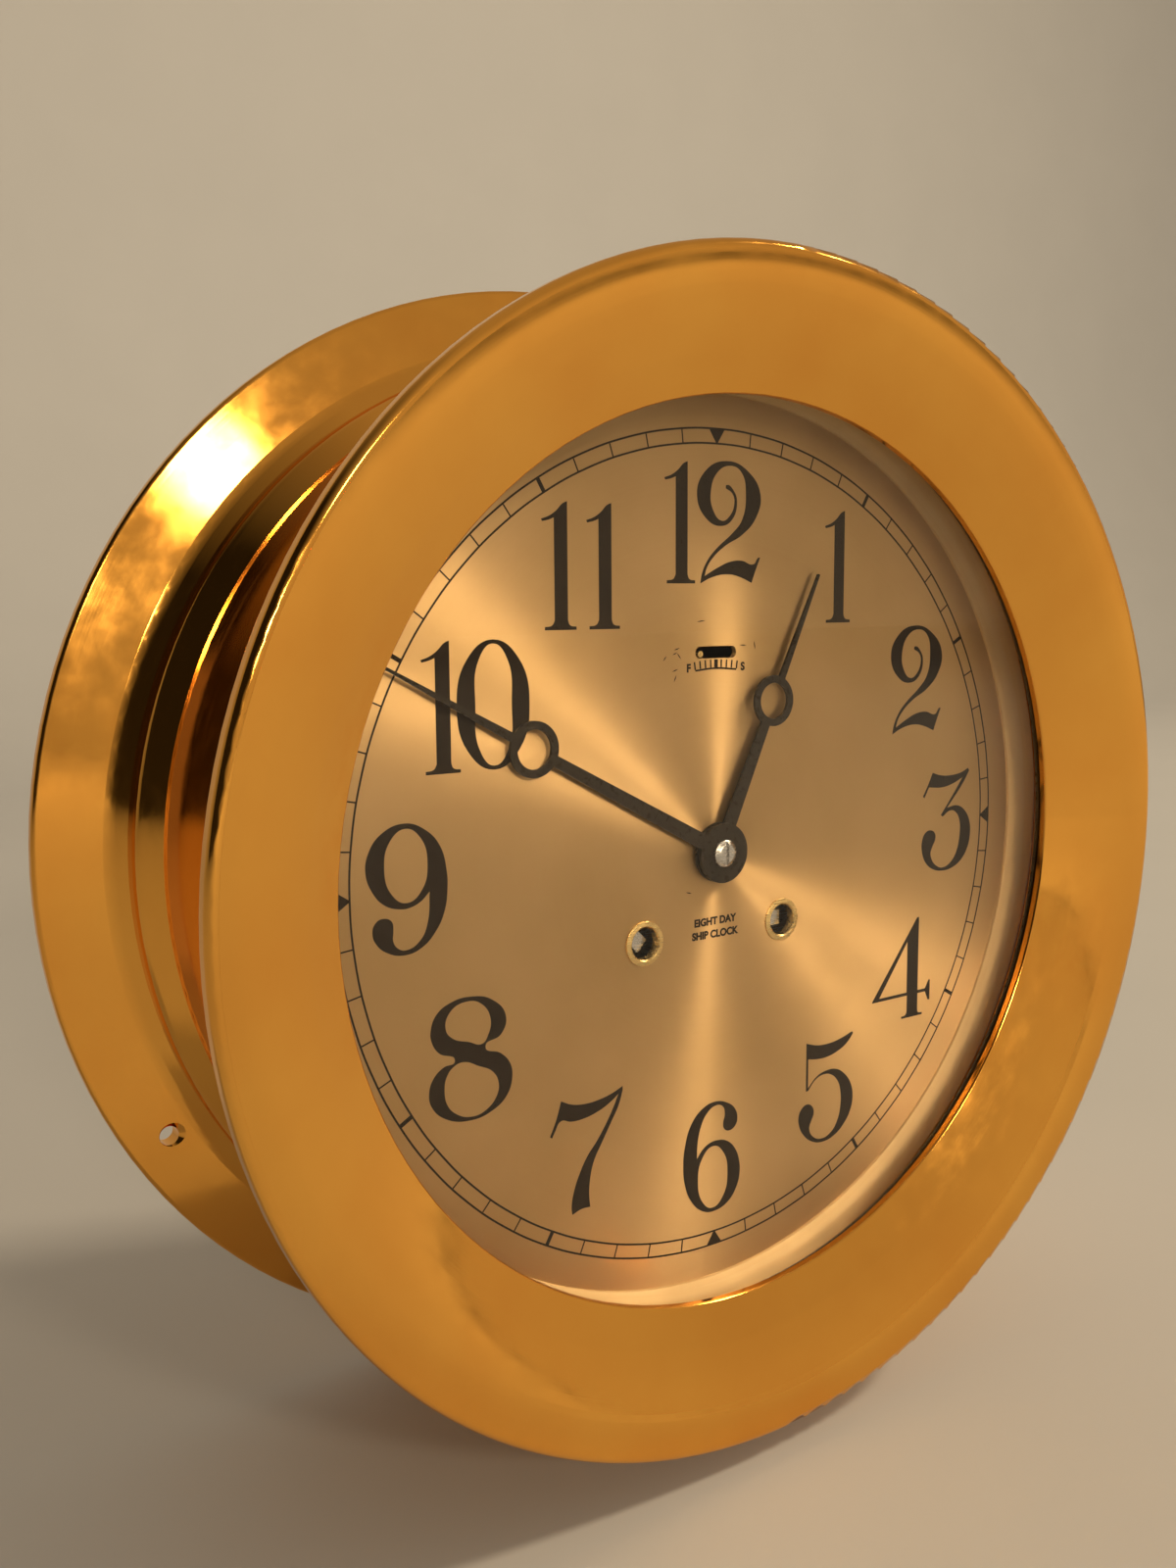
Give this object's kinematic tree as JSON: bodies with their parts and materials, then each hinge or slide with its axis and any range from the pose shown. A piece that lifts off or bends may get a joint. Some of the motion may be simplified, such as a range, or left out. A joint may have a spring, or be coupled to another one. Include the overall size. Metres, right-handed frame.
{
  "type": "ships deck clock",
  "caption": "Round brass bulkhead clock with wall flange, screw bezel, flat crystal, silvered dial, moon hands, key-wound time and bell-strike movement.",
  "frame": {"origin": "centre of the flat back of the wall flange, on the clock's axis", "axes": "-Y out of the dial toward the viewer, +Y into the wall, +Z to 12 o'clock, +X to 3 o'clock"},
  "size_m": [0.2898, 0.0997, 0.2898],
  "materials": {
    "polished_brass": "mirror polished and clear lacquered",
    "silvered_dial": "silvered, circular spun",
    "black_enamel": "satin black",
    "crystal_glass": "polished clear",
    "gasket_rubber": "matte",
    "movement_brass": "damascened and lacquered",
    "steel": "polished",
    "blued_steel": "blued",
    "bell_metal": "turned"
  },
  "bodies": {
    "case": {"wall_flange": "polished_brass", "case_barrel": "polished_brass", "back_plate": "polished_brass", "reflector_ring": "silvered_dial", "dial_plate": "silvered_dial", "winding_grommets": "polished_brass", "dial_feet": "movement_brass", "dial_foot_pins": "steel", "front_plate": "movement_brass", "rear_plate": "movement_brass", "plate_pillars": "movement_brass", "plate_screws": "steel", "mounting_posts": "movement_brass", "mounting_screws": "steel", "minute_wheel_stud": "steel", "click_studs": "steel", "click_springs": "steel", "escapement_platform": "movement_brass", "lever_cock": "movement_brass", "balance_cock": "movement_brass", "cock_screw": "steel", "platform_screws": "steel", "bell": "bell_metal", "bell_post": "movement_brass", "bell_nut": "steel"},
    "glazing": {"crystal": "crystal_glass", "crystal_gasket": "gasket_rubber", "retaining_ring": "polished_brass"},
    "bezel": {"bezel_ring": "polished_brass"},
    "minute_hand": {"minute_hand": "black_enamel", "hand_pin": "steel", "cannon_pinion": "movement_brass"},
    "hour_hand": {"hour_hand": "black_enamel", "hour_wheel": "movement_brass"},
    "minute_wheel": {"minute_wheel": "movement_brass"},
    "time_barrel": {"time_barrel": "movement_brass", "time_barrel_cap": "movement_brass", "time_mainspring": "steel"},
    "time_winding": {"time_winding_arbor": "steel", "time_ratchet_wheel": "steel"},
    "time_click": {"time_click": "steel"},
    "strike_barrel": {"strike_barrel": "movement_brass", "strike_barrel_cap": "movement_brass", "strike_mainspring": "steel"},
    "strike_winding": {"strike_winding_arbor": "steel", "strike_ratchet_wheel": "steel"},
    "strike_click": {"strike_click": "steel"},
    "centre_wheel": {"centre_wheel": "movement_brass"},
    "third_wheel": {"third_wheel": "movement_brass"},
    "fourth_wheel": {"fourth_wheel": "movement_brass"},
    "escape_wheel": {"escape_wheel": "steel"},
    "pallet_lever": {"pallet_lever": "steel"},
    "balance": {"balance_wheel": "movement_brass", "hairspring": "blued_steel"},
    "regulator": {"regulator_arm": "movement_brass"},
    "strike_second_wheel": {"strike_second_wheel": "movement_brass"},
    "strike_third_wheel": {"strike_third_wheel": "movement_brass"},
    "strike_fly": {"strike_fly": "movement_brass"},
    "hammer": {"hammer": "steel"}
  },
  "joints": [
    {"name": "bezel_lift", "type": "slide", "parent": "case", "child": "glazing", "axis": [0, -1, 0], "range_m": [0, 0.0075]},
    {"name": "bezel_unscrew", "type": "hinge", "parent": "glazing", "child": "bezel", "pos_m": [0, -0.09, 0], "axis": [0, -1, 0], "range_deg": [0, 1080]},
    {"name": "minute_hand_turn", "type": "hinge", "parent": "case", "child": "minute_hand", "pos_m": [0, -0.045, 0], "axis": [0, -1, 0], "continuous": true},
    {"name": "hour_hand_turn", "type": "hinge", "parent": "case", "child": "hour_hand", "pos_m": [0, -0.045, 0], "axis": [0, -1, 0], "continuous": true},
    {"name": "minute_wheel_turn", "type": "hinge", "parent": "case", "child": "minute_wheel", "pos_m": [0, -0.045, 0.013], "axis": [0, -1, 0], "continuous": true},
    {"name": "fourth_wheel_turn", "type": "hinge", "parent": "case", "child": "fourth_wheel", "pos_m": [-0.0185, -0.045, 0.0208], "axis": [0, -1, 0], "continuous": true},
    {"name": "third_wheel_turn", "type": "hinge", "parent": "case", "child": "third_wheel", "pos_m": [-0.00539, -0.045, 0.01717], "axis": [0, -1, 0], "continuous": true},
    {"name": "centre_wheel_turn", "type": "hinge", "parent": "case", "child": "centre_wheel", "pos_m": [0, -0.045, 0], "axis": [0, -1, 0], "continuous": true},
    {"name": "time_barrel_turn", "type": "hinge", "parent": "case", "child": "time_barrel", "pos_m": [0.022, -0.045, -0.0201], "axis": [0, -1, 0], "continuous": true},
    {"name": "escape_wheel_turn", "type": "hinge", "parent": "case", "child": "escape_wheel", "pos_m": [-0.0185, -0.045, 0.034], "axis": [0, -1, 0], "continuous": true},
    {"name": "time_wind", "type": "hinge", "parent": "case", "child": "time_winding", "pos_m": [0.022, -0.045, -0.0201], "axis": [0, -1, 0], "continuous": true},
    {"name": "strike_wind", "type": "hinge", "parent": "case", "child": "strike_winding", "pos_m": [-0.022, -0.045, -0.0201], "axis": [0, -1, 0], "continuous": true},
    {"name": "time_click_lift", "type": "hinge", "parent": "case", "child": "time_click", "pos_m": [0.033, -0.045, -0.0286], "axis": [0, -1, 0], "range_deg": [-8, 0], "stiffness_Nm_per_rad": 0.004, "springref_deg": 8.59},
    {"name": "strike_click_lift", "type": "hinge", "parent": "case", "child": "strike_click", "pos_m": [-0.033, -0.045, -0.0286], "axis": [0, -1, 0], "range_deg": [0, 8], "stiffness_Nm_per_rad": 0.004, "springref_deg": -8.59},
    {"name": "pallet_swing", "type": "hinge", "parent": "case", "child": "pallet_lever", "pos_m": [-0.0095, -0.045, 0.034], "axis": [0, -1, 0], "range_deg": [-5, 5]},
    {"name": "balance_swing", "type": "hinge", "parent": "case", "child": "balance", "pos_m": [0, -0.045, 0.034], "axis": [0, -1, 0], "range_deg": [-135, 135], "stiffness_Nm_per_rad": 0.00002},
    {"name": "regulator_turn", "type": "hinge", "parent": "case", "child": "regulator", "pos_m": [0, -0.045, 0.034], "axis": [0, -1, 0], "range_deg": [-34, 0]},
    {"name": "strike_third_turn", "type": "hinge", "parent": "case", "child": "strike_third_wheel", "pos_m": [-0.04558, -0.045, 0.00741], "axis": [0, -1, 0], "continuous": true},
    {"name": "strike_second_turn", "type": "hinge", "parent": "case", "child": "strike_second_wheel", "pos_m": [-0.0478, -0.045, -0.0052], "axis": [0, -1, 0], "continuous": true},
    {"name": "strike_barrel_turn", "type": "hinge", "parent": "case", "child": "strike_barrel", "pos_m": [-0.022, -0.045, -0.0201], "axis": [0, -1, 0], "continuous": true},
    {"name": "strike_fly_turn", "type": "hinge", "parent": "case", "child": "strike_fly", "pos_m": [-0.04175, -0.045, 0.01793], "axis": [0, -1, 0], "continuous": true},
    {"name": "hammer_lift", "type": "hinge", "parent": "case", "child": "hammer", "pos_m": [-0.035, -0.045, -0.046], "axis": [0, -1, 0], "range_deg": [0, 18]}
  ],
  "couplings": [
    {"joint": "bezel_lift", "follows": "bezel_unscrew", "m_per_rad": 0.00039789},
    {"joint": "minute_wheel_turn", "follows": "minute_hand_turn", "ratio": -0.33333},
    {"joint": "hour_hand_turn", "follows": "minute_hand_turn", "ratio": 0.083333},
    {"joint": "third_wheel_turn", "follows": "fourth_wheel_turn", "ratio": -0.13333},
    {"joint": "centre_wheel_turn", "follows": "fourth_wheel_turn", "ratio": 0.016667},
    {"joint": "time_barrel_turn", "follows": "fourth_wheel_turn", "ratio": -0.0027778},
    {"joint": "escape_wheel_turn", "follows": "fourth_wheel_turn", "ratio": -10},
    {"joint": "strike_second_turn", "follows": "strike_third_turn", "ratio": -0.14286},
    {"joint": "strike_barrel_turn", "follows": "strike_third_turn", "ratio": 0.02381},
    {"joint": "strike_fly_turn", "follows": "strike_third_turn", "ratio": -6}
  ]
}
